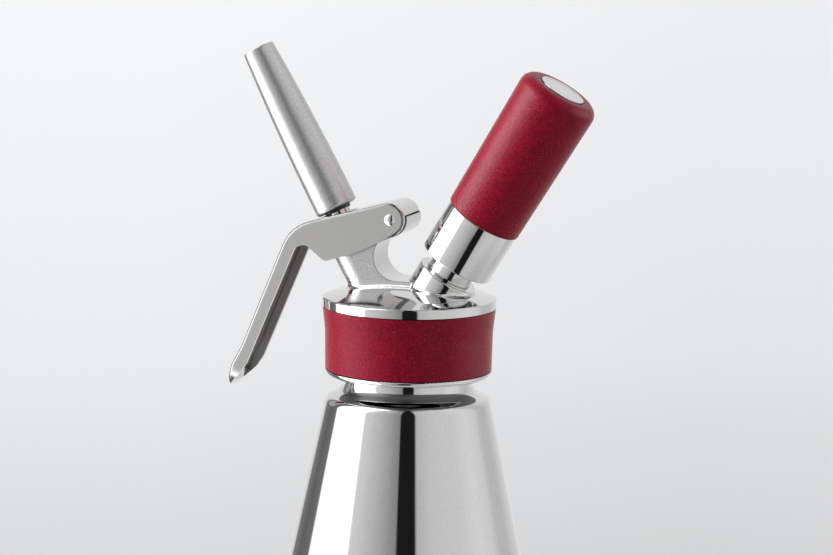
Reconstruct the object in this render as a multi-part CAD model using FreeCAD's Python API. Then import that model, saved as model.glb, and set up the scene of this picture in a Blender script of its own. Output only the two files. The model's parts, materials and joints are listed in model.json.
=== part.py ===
import FreeCAD, Part
import math
import os

# Cream whipper: a steel bottle, a screwed-on head with a lever valve on the left (-X)
# and a gas charger holder on the right (+X). Millimetres, +Z up. The origin is the
# centre of the bottle's base, and the XZ plane is the plane of symmetry.

# ---- bottle ----
band_level = 232.0            # height of the red band's top edge, where head heights start
bottle_wall = 1.2
bottle_radius = 52.0          # the widest part
bottle_base_rounding = 11.0
base_dish_radius = 30.0       # the raised middle of the base
base_dish_depth = 2.5
base_dish_slope = 3.0         # width of the dish's sloping edge, for each millimetre of depth
base_dish_rounding = 3.0
flank_top = -40.0             # where the tapered flank meets the shoulder, from band_level
flank_top_radius = 34.4
flank_end = -122.0            # where the flank would meet the straight side
flank_rounding = 170.0
shoulder_drop = 3.5           # slope of the shoulder, from the neck's foot down to the flank
shoulder_rounding = 4.5
neck_radius = 26.2
neck_foot = -34.5
neck_fillet = 7.0
thread_height = 1.3           # crest of the bottle's outer thread over its neck
thread_foot = -25.0
thread_lead_in = 1.2          # cone at each end of the thread
mouth_level = -8.0
mouth_rounding = 0.3
small_rounding = 0.5          # broken edges that nothing else gives a radius
past = 1.0                    # how far a cutter runs past the face it opens
touch = 0.01                  # how near a point is to count as on an edge or face

# ---- head: skirt, rim and dome ----
rim_radius = 36.0
rim_rounding = 0.9
dome_radius = 116.0
dome_top = 9.3                # above band_level
roof_thickness = 3.6
band_seat_radius = 32.2
lip_level = -26.4             # top of the polished lip under the band
lip_radius = 34.5
lip_rounding = 1.9
lip_step_rounding = 0.3
skirt_foot = -28.7
skirt_rounding = 0.6
skirt_root = 1.0              # how far the skirt runs up into the roof
chamber_radius = 21.0
thread_gap = 0.5              # between mating threads, crest to crest
gasket_thickness = 3.4
gasket_width = 5.2
gasket_play = 0.3
gasket_tab_width = 8.0
gasket_tab_reach = 3.5
gasket_tab_thickness = 1.6

# ---- red band round the skirt ----
band_top_radius = 35.8
band_waist_radius = 34.7
band_waist_level = -10.0
band_foot_radius = 34.4
band_gap = 0.2
band_edge_rounding = 0.4
band_flare_rounding = 45.0

# ---- valve axis, leaning left, and the post that carries it ----
valve_foot = -11.0            # X where the axis crosses band_level
valve_lean = 29.0             # degrees from vertical
casting_half_width = 8.75     # flat sides of post, arm and bridge
post_offset = 1.2             # how far the post's round back is set off behind the axis
post_top = 29.5               # along the valve axis, as are all the levels below
casting_root = 7.0            # where the upper and lower forms meet inside the roof
seat_boss_radius = 9.2
seat_level = -1.5
spring_pocket_level = 21.5
spring_pocket_radius = 7.1
dome_fillet = 1.6

# ---- lever pivot and its lug ----
pivot_x = -5.6
pivot_level = 36.4
lug_radius = 6.9
lug_hub_radius = 4.1
arm_clear_slope = 28.0        # slope of the arm's top, clear of the pressed lever's web
arm_corner_rounding = 1.0
arm_post_rise = 2.0           # the arm's shoulder over the post's top
arm_belly_angle = -70.0       # where the lug runs into the notch
lug_step_angle = 17.0         # the step that the closed lever end rests on
lug_step_gap = 0.35
notch_radius = 9.6
notch_x = -3.4
notch_level = 20.7
notch_lap = 0.5               # how far the lug runs down into the notch
bridge_root = 6.5
bridge_end_level = 12.8       # along the charger port's axis

# ---- lever ----
plate_thickness = 1.6
web_thickness = 1.8           # at the outer edge
side_gap = 0.3                # lug to lever plate, each side
lever_end_x = -6.3
lever_end_radius = 7.0
lever_top_slope = 16.0
lever_edge_rounding = 1.3
lever_belly_angle = -57.0     # where the round end runs into the underside
pin_radius = 2.0
pin_fit = 0.05
pin_head_radius = 2.3
pin_head_height = 0.9
pin_head_rounding = 0.85
stem_slot_radius = 5.4
stem_slot_length = 15.6
lever_gap = 0.45              # web to the adaptor's flange when the lever is closed

# Side outline of the lever below its top edge: X, level above the band, corner radius.
lever_bend = (-49.4, 31.3, 18.0)
handle_flare = (-70.6, -20.8, 16.0)
handle_heel = (-74.6, -28.0, 8.0)
handle_tip = (-78.1, -39.2)
handle_inner_foot = (-68.9, -30.0, 14.0)
handle_inner_top = (-46.9, 22.6, 3.4)
hook_corner = (-42.3, 24.0, 3.0)
belly_corner = (-33.8, 17.6, 2.6)
belly_bend = (-20.8, 21.6, 40.0)

# ---- valve stem, adaptor, spring and nozzle, along the valve axis ----
stem_radius = 4.4
stem_fit = 0.08
stem_bore = 2.6
stem_thread_radius = 3.4
stem_shoulder = 32.2
stem_tip = 38.0
disc_radius = 7.4
disc_thickness = 2.6
disc_edge_rounding = 0.8
seal_thickness = 2.2
seal_gap = 0.1
seal_inset = 0.2              # seal's rim inside the disc's
seal_rounding = 0.4
port_radius = 1.7
port_level = 0.4
stem_floor_drop = 0.6         # bore's floor below the side ports
ring_levels = (7.5, 12.0)
ring_groove_depth = 1.0
ring_groove_width = 2.0
flange_radius = 7.6
flange_dome_radius = 9.0
flange_foot = 35.3
adaptor_hub_radius = 4.9
adaptor_neck_radius = 4.7
adaptor_thread_radius = 4.1
adaptor_thread_length = 8.6
adaptor_edge_rounding = 0.2
adaptor_bore = 2.4
washer_radius = 5.6
washer_height = 0.8           # above the web, where the web crosses the axis
washer_thickness = 1.3
washer_rounding = 0.4
washer_play = 0.35            # round the adaptor's thread
nozzle_length = 74.0
nozzle_foot_radius = 8.92
nozzle_top_radius = 6.6
nozzle_side_rounding = 1080.0 # the long bow between foot and top
nozzle_foot_rounding = 1.3
nozzle_top_rounding = 0.5
nozzle_bore_rounding = 0.3
nozzle_socket_depth = 9.6
nozzle_wall = 1.5
nozzle_throat = 3.0           # length over which the socket opens into the bore
spring_wire = 1.2
spring_coil_radius = 6.1
spring_turns = 5
spring_gap = 0.12

# ---- charger port, along the holder axis, leaning right ----
port_foot = 8.6               # X where the axis crosses band_level
port_lean = 30.9
boss_radius = 13.0
boss_level = 16.0
boss_edge_rounding = 0.6
nipple_rounding = 0.4
stub_radius = 9.6
stub_top = 39.0
stub_chamfer = 0.8
socket_radius = 5.0
socket_foot = 20.0
gas_bore = 1.2
nipple_radius = 3.3
nipple_foot = -5.0
nipple_hole_level = -1.8
nipple_hole_radius = 0.7
sleeve_valve_wall = 1.2
sleeve_valve_rounding = 0.4
sleeve_valve_span = (-3.6, 0.4)
insert_top = 28.4
insert_slot_width = 1.6
insert_slot_depth = 1.5
needle_radius = 1.1
needle_bore = 0.45
needle_foot = 21.5
needle_tip = 33.4
needle_point_length = 2.2
needle_point_wall = 0.1
charger_gasket_thickness = 2.6
charger_gasket_hole = 1.6

# ---- gas charger ----
charger_length = 65.0
charger_radius = 8.9
charger_neck_radius = 4.3
charger_neck_length = 9.0
charger_shoulder = 8.0
charger_neck_rounding = 2.0
charger_shoulder_rounding = 4.0
charger_nose_rounding = 0.5
charger_wall = 1.3
charger_end_rounding = 8.5
charger_cap_thickness = 1.6
charger_cap_hole = 1.6

# ---- charger holder ----
sleeve_foot = 22.5
sleeve_radius = 15.5
sleeve_rim_wall = 2.0
sleeve_rim_depth = 3.0
sleeve_edge_rounding = 0.5
sleeve_thread_top = 40.0
charger_play = 0.5            # charger to holder
sleeve_core_radius = 13.8
sleeve_core_roof = 6.5        # end wall over the charger's room
sleeve_core_rounding = 3.0
grip_foot = 44.6
grip_foot_radius = 15.95
grip_foot_rounding = 0.6
grip_top_radius = 17.0
grip_top_rounding = 4.8
grip_roof = 4.3               # silicone over the core's end
badge_radius = 9.7
badge_gap = 0.25
badge_depth = 1.6
badge_proud = 0.1
badge_rim = 0.9
badge_rim_height = 0.2
badge_rounding = 0.1


def spot(x, level):
    """Point of the XZ plane."""
    return FreeCAD.Vector(x, 0, level)


def path(corners, closed=True):
    """Wire in the XZ plane through corners (x, level, rounding radius)."""
    points = [spot(corner[0], corner[1]) for corner in corners]
    count = len(points)
    trims = []
    for index, here in enumerate(points):
        rounding = corners[index][2] if len(corners[index]) > 2 else 0
        open_end = not closed and index in (0, count - 1)
        if rounding == 0 or open_end:
            trims.append((here, None, here))
            continue
        back = (points[index - 1] - here).normalize()
        ahead = (points[(index + 1) % count] - here).normalize()
        half_angle = back.getAngle(ahead) / 2
        reach = rounding / math.tan(half_angle)
        inward = (back + ahead).normalize()
        crown = here + inward * (rounding / math.sin(half_angle) - rounding)
        trims.append((here + back * reach, crown, here + ahead * reach))
    edges = []
    for index in range(count):
        first, crown, last = trims[index]
        if crown is not None:
            edges.append(Part.Arc(first, crown, last).toShape())
        if not closed and index == count - 1:
            break
        following = trims[(index + 1) % count][0]
        if last.distanceToPoint(following) > touch / 100:
            edges.append(Part.LineSegment(last, following).toShape())
    return Part.Wire(edges)


def turned(*corners):
    """Solid of revolution about Z of a closed profile of (radius, level, rounding) corners."""
    face = Part.Face(path(corners))
    return face.revolve(FreeCAD.Vector(0, 0, 0), FreeCAD.Vector(0, 0, 1), 360)


def plate(wire, width):
    """Prism of an XZ outline, centred on the plane of symmetry."""
    face = Part.Face(wire)
    face.translate(FreeCAD.Vector(0, -width / 2, 0))
    return face.extrude(FreeCAD.Vector(0, width, 0))


def rod(radius, foot, top):
    """Cylinder about Z between two levels."""
    return Part.makeCylinder(radius, top - foot, spot(0, foot))


def cross_rod(radius, x, level, width):
    """Cylinder along Y, centred on the plane of symmetry."""
    start = FreeCAD.Vector(x, -width / 2, level)
    return Part.makeCylinder(radius, width, start, FreeCAD.Vector(0, 1, 0))


def around(centre, radius, degrees):
    """Point on a circle of the XZ plane, as (x, level)."""
    angle = math.radians(degrees)
    return (centre[0] + radius * math.cos(angle), centre[1] + radius * math.sin(angle))


def lean_to(foot, degrees):
    """Placement that carries the Z axis onto an axis leaning right by the given degrees."""
    turn = FreeCAD.Rotation(FreeCAD.Vector(0, 1, 0), degrees)
    return FreeCAD.Placement(spot(foot, 0), turn)


valve_axis = lean_to(valve_foot, -valve_lean)
port_axis = lean_to(port_foot, port_lean)


def on_axis(axis, shape):
    """Copy of a shape built about Z, moved onto a leaning axis."""
    moved = shape.copy()
    moved.transformShape(axis.toMatrix(), True)
    return moved


def valve_point(along, across):
    """(x, level) of a place along the valve axis and to its right."""
    place = valve_axis.multVec(spot(across, along))
    return (place.x, place.z)


def rounded_edges(shape, radius, wanted):
    """Shape with every edge rounded whose points all pass the test."""
    edges = []
    for edge in shape.Edges:
        probes = [edge.valueAt(edge.FirstParameter + share * (edge.LastParameter - edge.FirstParameter))
                  for share in (0.1, 0.5, 0.9)]
        if all(wanted(probe) for probe in probes):
            edges.append(edge)
    return shape.makeFillet(radius, edges)


# ---------------------------------------------------------------- bottle

flank_slope = (bottle_radius - flank_top_radius) / (flank_top - flank_end)
shoulder_level = neck_foot - shoulder_drop
shoulder_radius = flank_top_radius + flank_slope * (flank_top - shoulder_level)
shoulder_slope = shoulder_drop / (shoulder_radius - neck_radius)
thread_radius = neck_radius + thread_height


def bottle_body(inset, top):
    """Solid of the bottle's outside, or of its inside when inset by the wall."""
    floor = -band_level + inset
    side = bottle_radius - inset
    neck_drop = inset * (math.hypot(1, shoulder_slope) - shoulder_slope)
    drop = neck_drop / (1 - shoulder_slope * flank_slope)
    return turned(
        (0, floor + base_dish_depth),
        (base_dish_radius, floor + base_dish_depth, base_dish_rounding),
        (base_dish_radius + base_dish_slope * base_dish_depth, floor, base_dish_rounding),
        (side, floor, bottle_base_rounding - inset),
        (side, flank_end, flank_rounding),
        (shoulder_radius - inset + flank_slope * drop, shoulder_level - drop, shoulder_rounding - inset),
        (neck_radius - inset, neck_foot - neck_drop, neck_fillet + inset),
        (neck_radius - inset, top),
        (0, top))


def make_bottle():
    """Deep-drawn bottle with a thread band and a plain mouth."""
    outside = bottle_body(0, mouth_level)
    thread = turned(
        (neck_radius - bottle_wall / 2, thread_foot),
        (thread_radius, thread_foot + thread_lead_in),
        (thread_radius, mouth_level - thread_lead_in, small_rounding),
        (neck_radius, mouth_level, mouth_rounding),
        (neck_radius - bottle_wall / 2, mouth_level))
    inside = bottle_body(bottle_wall, mouth_level + past)
    return outside.fuse(thread).cut(inside).removeSplitter()


# ---------------------------------------------------------------- head

skirt_bore = thread_radius + thread_gap
gasket_seat = mouth_level + gasket_thickness
dome_centre = spot(0, dome_top - dome_radius)


def make_arm():
    """Flat-sided arm from the post to the lug that carries the lever's pin."""
    pivot = (pivot_x, pivot_level)
    width = 2 * casting_half_width
    arm_edge = around(pivot, lug_hub_radius, 90 + arm_clear_slope)
    rise = math.tan(math.radians(arm_clear_slope))
    corner = valve_point(post_top + arm_post_rise, casting_half_width)
    shoulder = (corner[0], arm_edge[1] + (corner[0] - arm_edge[0]) * rise)
    arm = plate(path([
        valve_point(0, -post_offset),
        valve_point(post_top, -post_offset),
        valve_point(post_top, casting_half_width),
        (corner[0], corner[1], arm_corner_rounding),
        (shoulder[0], shoulder[1], arm_corner_rounding),
        arm_edge,
        pivot,
        around(pivot, lug_radius, arm_belly_angle),
        (notch_x, notch_level + notch_radius - notch_lap),
        (notch_x, bridge_root)]), width)
    hub = cross_rod(lug_hub_radius, pivot_x, pivot_level, width)
    lug = cross_rod(lug_radius, pivot_x, pivot_level, width)
    step = math.degrees(lug_step_gap / lug_radius)
    far = 4 * lug_radius
    below_step = plate(path([
        around(pivot, far, lug_step_angle - step),
        around(pivot, far, lug_step_angle - step - 70),
        around(pivot, far, lug_step_angle - step - 140),
        pivot]), width)
    return arm.fuse([hub, lug.common(below_step)])


def make_bridge():
    """Low slab that ties the post to the charger port."""
    top = notch_level - notch_radius
    port_side = port_axis.multVec(spot(0, bridge_end_level))
    return plate(path([
        (notch_x - notch_radius, bridge_root),
        (notch_x - notch_radius, top),
        (port_side.x, top),
        (port_side.x, bridge_root)]), 2 * casting_half_width)


def make_head():
    """Cast head: dome, rim and skirt, with the valve post, lever lug and charger port."""
    dome = rod(rim_radius, 0, dome_top + past).common(Part.makeSphere(dome_radius, dome_centre))
    inner_dome = Part.makeSphere(dome_radius - roof_thickness, dome_centre)
    post = rod(casting_half_width, 0, post_top)
    post.translate(spot(-post_offset, 0))
    post = on_axis(valve_axis, post)
    boss = on_axis(port_axis, turned(
        (0, 0),
        (boss_radius, 0),
        (boss_radius, boss_level, boss_edge_rounding),
        (0, boss_level)))
    notch = cross_rod(notch_radius, notch_x, notch_level, 4 * casting_half_width)
    upper = make_arm().fuse([post, make_bridge()]).cut(notch).fuse(boss)
    head = dome.fuse(upper.cut(inner_dome)).removeSplitter()

    def on_dome(point):
        off_sphere = abs(point.distanceToPoint(dome_centre) - dome_radius)
        return off_sphere < touch and math.hypot(point.x, point.y) < rim_radius - dome_fillet
    head = rounded_edges(head, dome_fillet, on_dome)

    rim_edge = math.sqrt(dome_radius ** 2 - rim_radius ** 2) + dome_centre.z

    def on_rim(point):
        return (abs(math.hypot(point.x, point.y) - rim_radius) < touch
                and abs(point.z - rim_edge) < touch)
    head = rounded_edges(head, rim_rounding, on_rim)

    skirt = turned(
        (chamber_radius, skirt_root),
        (band_seat_radius, skirt_root),
        (band_seat_radius, lip_level),
        (lip_radius, lip_level, lip_step_rounding),
        (lip_radius, skirt_foot, lip_rounding),
        (skirt_bore, skirt_foot, skirt_rounding),
        (skirt_bore, gasket_seat),
        (chamber_radius, gasket_seat))
    chamber = rod(chamber_radius, gasket_seat, dome_top).common(inner_dome)
    seat_boss = on_axis(valve_axis, rod(seat_boss_radius, seat_level, casting_root))
    stub = on_axis(port_axis, turned(
        (0, bridge_end_level),
        (stub_radius, bridge_end_level),
        (stub_radius, stub_top, stub_chamfer),
        (0, stub_top)))
    nipple = on_axis(port_axis, turned(
        (0, nipple_foot),
        (nipple_radius, nipple_foot, nipple_rounding),
        (nipple_radius, casting_root),
        (0, casting_root)))
    head = head.cut(chamber).fuse([skirt, seat_boss, stub, nipple])

    stem_hole = on_axis(valve_axis, rod(stem_radius + stem_fit, seat_level - past, post_top))
    spring_pocket = on_axis(valve_axis, rod(spring_pocket_radius, spring_pocket_level, post_top + past))
    over_pocket = on_axis(valve_axis, rod(spring_pocket_radius, post_top, post_top + 4 * past))
    socket = on_axis(port_axis, rod(socket_radius, socket_foot, stub_top + past))
    gas_way = on_axis(port_axis, rod(gas_bore, nipple_hole_level, socket_foot + past))
    gas_exit = on_axis(port_axis, cross_rod(nipple_hole_radius, 0, nipple_hole_level, 3 * nipple_radius))
    pin_hole = cross_rod(pin_radius + pin_fit, pivot_x, pivot_level, 4 * casting_half_width)
    for hollow in (stem_hole, spring_pocket, over_pocket, socket, gas_way, gas_exit, pin_hole):
        head = head.cut(hollow)
    return head.removeSplitter()


def make_head_band():
    """Silicone band round the skirt, flared at its top edge."""
    return turned(
        (band_seat_radius, lip_level + band_gap),
        (band_foot_radius, lip_level + band_gap, band_edge_rounding),
        (band_waist_radius, band_waist_level, band_flare_rounding),
        (band_top_radius, -band_gap, band_edge_rounding),
        (band_seat_radius, -band_gap))


def make_head_gasket():
    """Flat ring that seals the head on the bottle's mouth, with a tab to pull it out by."""
    outer = skirt_bore - gasket_play
    inner = outer - gasket_width
    ring = turned(
        (inner, mouth_level),
        (outer, mouth_level),
        (outer, gasket_seat),
        (inner, gasket_seat))
    tab = Part.makeBox(gasket_tab_reach + gasket_width / 2, gasket_tab_width, gasket_tab_thickness)
    tab.translate(FreeCAD.Vector(inner - gasket_tab_reach, -gasket_tab_width / 2,
                                 gasket_seat - gasket_tab_thickness))
    return ring.fuse(tab).removeSplitter()


# ---------------------------------------------------------------- lever

lever_inner_half = casting_half_width + side_gap
lever_half = lever_inner_half + plate_thickness


def web_along(across, depth):
    """Where the lever's web crosses the valve axis, at a depth under the web's top face."""
    slope = math.radians(lever_top_slope)
    tilt = math.radians(valve_lean - lever_top_slope)
    reach = lever_end_radius - depth + pivot_level * math.cos(slope)
    sideways = (lever_end_x - valve_foot) * math.sin(slope)
    return (reach - sideways - across * math.sin(tilt)) / math.cos(tilt)


def lever_form(half_width):
    """Prism across the handle's end with straight sides and a round tip, seen from behind it."""
    tip = spot(*handle_tip)
    heel = spot(*handle_heel[:2])
    lean = math.degrees(math.atan2(heel.x - tip.x, heel.z - tip.z))
    reach = tip.distanceToPoint(spot(pivot_x, pivot_level)) + 2 * lever_end_radius

    def at(across, up):
        return FreeCAD.Vector(-reach, across, up)
    end = Part.Arc(at(half_width, lever_half), at(0, lever_half - half_width), at(-half_width, lever_half))
    sides = Part.makePolygon([at(-half_width, lever_half), at(-half_width, reach),
                              at(half_width, reach), at(half_width, lever_half)])
    form = Part.Face(Part.Wire([end.toShape()] + sides.Edges))
    form = form.extrude(FreeCAD.Vector(2 * reach, 0, 0))
    form.Placement = FreeCAD.Placement(tip, FreeCAD.Rotation(FreeCAD.Vector(0, 1, 0), lean))
    return form


def make_lever():
    """Lever: two side plates joined by a web along the outer edge, open towards the bottle."""
    centre = (lever_end_x, pivot_level)
    middle_angle = (lug_step_angle + 90 + lever_top_slope) / 2
    web_start = spot(*around(centre, lever_end_radius, lug_step_angle))
    web_crown = spot(*around(centre, lever_end_radius, middle_angle))
    top = around(centre, lever_end_radius, 90 + lever_top_slope)
    belly = around(centre, lever_end_radius, lever_belly_angle)
    nose = spot(*around(centre, lever_end_radius, (lug_step_angle + lever_belly_angle) / 2))
    end_arc = Part.Arc(web_start, web_crown, spot(*top)).toShape()
    run = path([top, lever_bend, handle_flare, handle_heel, handle_tip], closed=False)
    under = path([handle_tip, handle_inner_foot, handle_inner_top, hook_corner,
                  belly_corner, belly_bend, belly], closed=False)
    nose_arc = Part.Arc(spot(*belly), nose, web_start).toShape()
    outline = Part.Wire([end_arc] + run.Edges + under.Edges + [nose_arc])

    # The outer edge is rounded on a blank that runs straight on past both ends of it.
    run_on = 8 * lever_end_radius
    before = around(belly, run_on, lever_belly_angle - 90)
    tip = spot(*handle_tip)
    tip_back = (tip - spot(*handle_heel[:2])).normalize()
    after = tip + tip_back * lever_end_radius
    lead_in = Part.LineSegment(spot(*before), spot(*belly)).toShape()
    lead_out = Part.LineSegment(tip, after).toShape()
    closing = Part.LineSegment(after, spot(*before)).toShape()
    outer_edge = Part.Wire([lead_in, nose_arc, end_arc] + run.Edges + [lead_out])
    wide = 2 * lever_half + past
    blank = plate(Part.Wire(outer_edge.Edges + [closing]), wide).common(lever_form(lever_half))

    def on_outer_edge(point):
        off_edge = outer_edge.distToShape(Part.Vertex(point.x, 0, point.z))[0]
        from_tip = (tip - FreeCAD.Vector(point.x, 0, point.z)).dot(tip_back)
        on_side = abs(abs(point.y) - lever_half) < touch
        on_end = abs(math.hypot(point.y, lever_half - from_tip) - lever_half) < touch
        return off_edge < touch and (on_side or (on_end and from_tip < lever_half))
    blank = rounded_edges(blank, lever_edge_rounding, on_outer_edge)

    spine = Part.Wire([end_arc] + run.Edges)
    web_face = spine.makeOffset2D(web_thickness, 0, True, True, False)
    web_face.translate(FreeCAD.Vector(0, -lever_half, 0))
    web = web_face.extrude(FreeCAD.Vector(0, 2 * lever_half, 0))
    channel = plate(outline, 2 * lever_half).cut(web).common(lever_form(lever_inner_half))
    lever = blank.common(plate(outline, wide)).cut(channel)

    half_slot = stem_slot_length / 2 - stem_slot_radius
    low = web_along(stem_slot_length, web_thickness)
    high = web_along(-stem_slot_length, 0)
    ends = [rod(stem_slot_radius, low, high) for _ in range(2)]
    ends[0].translate(spot(half_slot, 0))
    ends[1].translate(spot(-half_slot, 0))
    middle = Part.makeBox(2 * half_slot, 2 * stem_slot_radius, high - low,
                          FreeCAD.Vector(-half_slot, -stem_slot_radius, low))
    slot = on_axis(valve_axis, middle.fuse(ends))
    pin_hole = cross_rod(pin_radius, pivot_x, pivot_level, 3 * lever_half)
    return lever.cut(slot).cut(pin_hole)


def make_lever_pin():
    """Rivet through both plates and the lug, with a low domed head at each end."""
    pin = rod(pin_radius, -lever_half, lever_half)
    head = turned(
        (0, lever_half),
        (pin_head_radius, lever_half),
        (pin_head_radius, lever_half + pin_head_height, pin_head_rounding),
        (0, lever_half + pin_head_height))
    other = head.copy()
    other.rotate(spot(0, 0), FreeCAD.Vector(1, 0, 0), 180)
    pin = pin.fuse([head, other])
    pin.rotate(spot(0, 0), FreeCAD.Vector(1, 0, 0), 90)
    pin.translate(spot(pivot_x, pivot_level))
    return pin


# ---------------------------------------------------------------- valve and nozzle

seal_top = seat_level - seal_gap
disc_top = seal_top - seal_thickness
washer_foot = web_along(0, 0) + washer_height
nozzle_foot = washer_foot + washer_thickness
nozzle_top = nozzle_foot + nozzle_length
web_tilt = math.radians(valve_lean - lever_top_slope)
flange_crown = math.sqrt(flange_dome_radius ** 2 - stem_slot_radius ** 2)
flange_dome_centre = web_along(0, web_thickness) - (flange_crown + lever_gap) / math.cos(web_tilt)


def make_valve_stem():
    """Hollow stem with a disc at its foot, side ports above the disc and two ring grooves."""
    stem = turned(
        (0, disc_top - disc_thickness),
        (disc_radius, disc_top - disc_thickness, disc_edge_rounding),
        (disc_radius, disc_top),
        (stem_radius, disc_top),
        (stem_radius, stem_shoulder),
        (stem_thread_radius, stem_shoulder),
        (stem_thread_radius, stem_tip),
        (stem_bore, stem_tip),
        (stem_bore, port_level - port_radius - stem_floor_drop),
        (0, port_level - port_radius - stem_floor_drop))
    for level in ring_levels:
        groove = turned(
            (stem_radius - ring_groove_depth, level - ring_groove_width / 2),
            (stem_radius + past, level - ring_groove_width / 2),
            (stem_radius + past, level + ring_groove_width / 2),
            (stem_radius - ring_groove_depth, level + ring_groove_width / 2))
        stem = stem.cut(groove)
    port = cross_rod(port_radius, 0, port_level, 3 * stem_radius)
    cross_port = port.copy()
    cross_port.rotate(spot(0, 0), FreeCAD.Vector(0, 0, 1), 90)
    return on_axis(valve_axis, stem.cut(port).cut(cross_port))


def make_valve_seal():
    """Rubber washer that the stem's disc presses against the seat."""
    return on_axis(valve_axis, turned(
        (stem_radius, disc_top),
        (disc_radius - seal_inset, disc_top),
        (disc_radius - seal_inset, seal_top, seal_rounding),
        (stem_radius, seal_top)))


def make_stem_rings():
    """Two rubber rings in the stem's grooves, as separate solids."""
    section = ring_groove_depth / 2
    rings = [Part.makeTorus(stem_radius - section, section, spot(0, level)) for level in ring_levels]
    return on_axis(valve_axis, Part.makeCompound(rings))


def make_tip_adaptor():
    """Adaptor screwed on the stem: hub, domed flange under the lever, neck and nozzle thread."""
    neck_crown = math.sqrt(flange_dome_radius ** 2 - adaptor_neck_radius ** 2) + flange_dome_centre
    rim_crown = math.sqrt(flange_dome_radius ** 2 - flange_radius ** 2) + flange_dome_centre
    between = (flange_radius + adaptor_neck_radius) / 2
    between_crown = math.sqrt(flange_dome_radius ** 2 - between ** 2) + flange_dome_centre
    dome = Part.Arc(spot(flange_radius, rim_crown), spot(between, between_crown),
                    spot(adaptor_neck_radius, neck_crown)).toShape()
    rest = path([
        (adaptor_neck_radius, neck_crown),
        (adaptor_neck_radius, washer_foot),
        (adaptor_thread_radius, washer_foot),
        (adaptor_thread_radius, washer_foot + adaptor_thread_length, small_rounding),
        (adaptor_bore, washer_foot + adaptor_thread_length),
        (adaptor_bore, stem_tip),
        (stem_thread_radius, stem_tip),
        (stem_thread_radius, stem_shoulder),
        (adaptor_hub_radius, stem_shoulder),
        (adaptor_hub_radius, flange_foot),
        (flange_radius, flange_foot, adaptor_edge_rounding),
        (flange_radius, rim_crown)], closed=False)
    face = Part.Face(Part.Wire([dome] + rest.Edges))
    adaptor = face.revolve(spot(0, 0), FreeCAD.Vector(0, 0, 1), 360)
    return on_axis(valve_axis, adaptor)


def make_nozzle_washer():
    """Black rubber washer between the adaptor's shoulder and the nozzle."""
    bore = adaptor_thread_radius + washer_play
    return on_axis(valve_axis, turned(
        (bore, washer_foot),
        (washer_radius, washer_foot, washer_rounding),
        (washer_radius, nozzle_foot),
        (bore, nozzle_foot)))


def make_nozzle():
    """Long tapered nozzle, threaded inside its foot."""
    socket_top = nozzle_foot + nozzle_socket_depth
    socket = adaptor_thread_radius + thread_gap
    throat_top = socket_top + nozzle_throat
    middle = (nozzle_foot + nozzle_top) / 2
    return on_axis(valve_axis, turned(
        (socket, nozzle_foot),
        (nozzle_foot_radius, nozzle_foot, nozzle_foot_rounding),
        (nozzle_foot_radius, middle, nozzle_side_rounding),
        (nozzle_top_radius, nozzle_top, nozzle_top_rounding),
        (nozzle_top_radius - nozzle_wall, nozzle_top, nozzle_bore_rounding),
        (nozzle_foot_radius - nozzle_wall, middle),
        (nozzle_foot_radius - nozzle_wall, throat_top),
        (socket, socket_top)))


def make_valve_spring():
    """Compression spring between post and adaptor: half turns that tilt in turn and meet level."""
    foot = spring_pocket_level + spring_gap + spring_wire / 2
    rise = (flange_foot - spring_gap - spring_wire / 2 - foot) / (2 * spring_turns)
    level_way = FreeCAD.Vector(0, 1, 0)
    halves = []
    for half in range(2 * spring_turns):
        side = 1 - 2 * (half % 2)
        start = spot(side * spring_coil_radius, foot + half * rise)
        end = spot(-side * spring_coil_radius, foot + (half + 1) * rise)
        section = Part.Face(Part.Wire(Part.makeCircle(spring_wire / 2, start, level_way)))
        tilted = level_way.cross(end - start) * side
        halves.append(section.revolve((start + end) / 2, tilted, 180))
    coil = halves[0].fuse(halves[1:])
    return on_axis(valve_axis, coil)


# ---------------------------------------------------------------- charger port

def make_port_insert():
    """Threaded bush at the bottom of the port that holds the needle."""
    insert = turned(
        (needle_radius, socket_foot),
        (socket_radius, socket_foot),
        (socket_radius, insert_top),
        (needle_radius, insert_top))
    slot = Part.makeBox(3 * socket_radius, insert_slot_width, 2 * insert_slot_depth)
    slot.translate(FreeCAD.Vector(-1.5 * socket_radius, -insert_slot_width / 2,
                                  insert_top - insert_slot_depth))
    return on_axis(port_axis, insert.cut(slot))


def make_piercing_pin():
    """Hollow needle that pierces the charger."""
    return on_axis(port_axis, turned(
        (needle_bore, needle_foot),
        (needle_radius, needle_foot),
        (needle_radius, needle_tip - needle_point_length),
        (needle_bore + needle_point_wall, needle_tip),
        (needle_bore, needle_tip)))


def make_charger_gasket():
    """Rubber ring on the insert that the charger's nose is pressed against."""
    top = insert_top + charger_gasket_thickness
    return on_axis(port_axis, turned(
        (charger_gasket_hole, insert_top),
        (socket_radius, insert_top),
        (socket_radius, top),
        (charger_gasket_hole, top)))


def make_check_valve_sleeve():
    """Rubber sleeve over the nipple's side hole: lets gas out and keeps cream from coming back."""
    low, high = sleeve_valve_span
    return on_axis(port_axis, turned(
        (nipple_radius, low),
        (nipple_radius + sleeve_valve_wall, low, sleeve_valve_rounding),
        (nipple_radius + sleeve_valve_wall, high, sleeve_valve_rounding),
        (nipple_radius, high)))


# ---------------------------------------------------------------- charger and holder

charger_foot = insert_top + charger_gasket_thickness + seal_gap
charger_top = charger_foot + charger_length
neck_bore = charger_neck_radius - charger_wall


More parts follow.
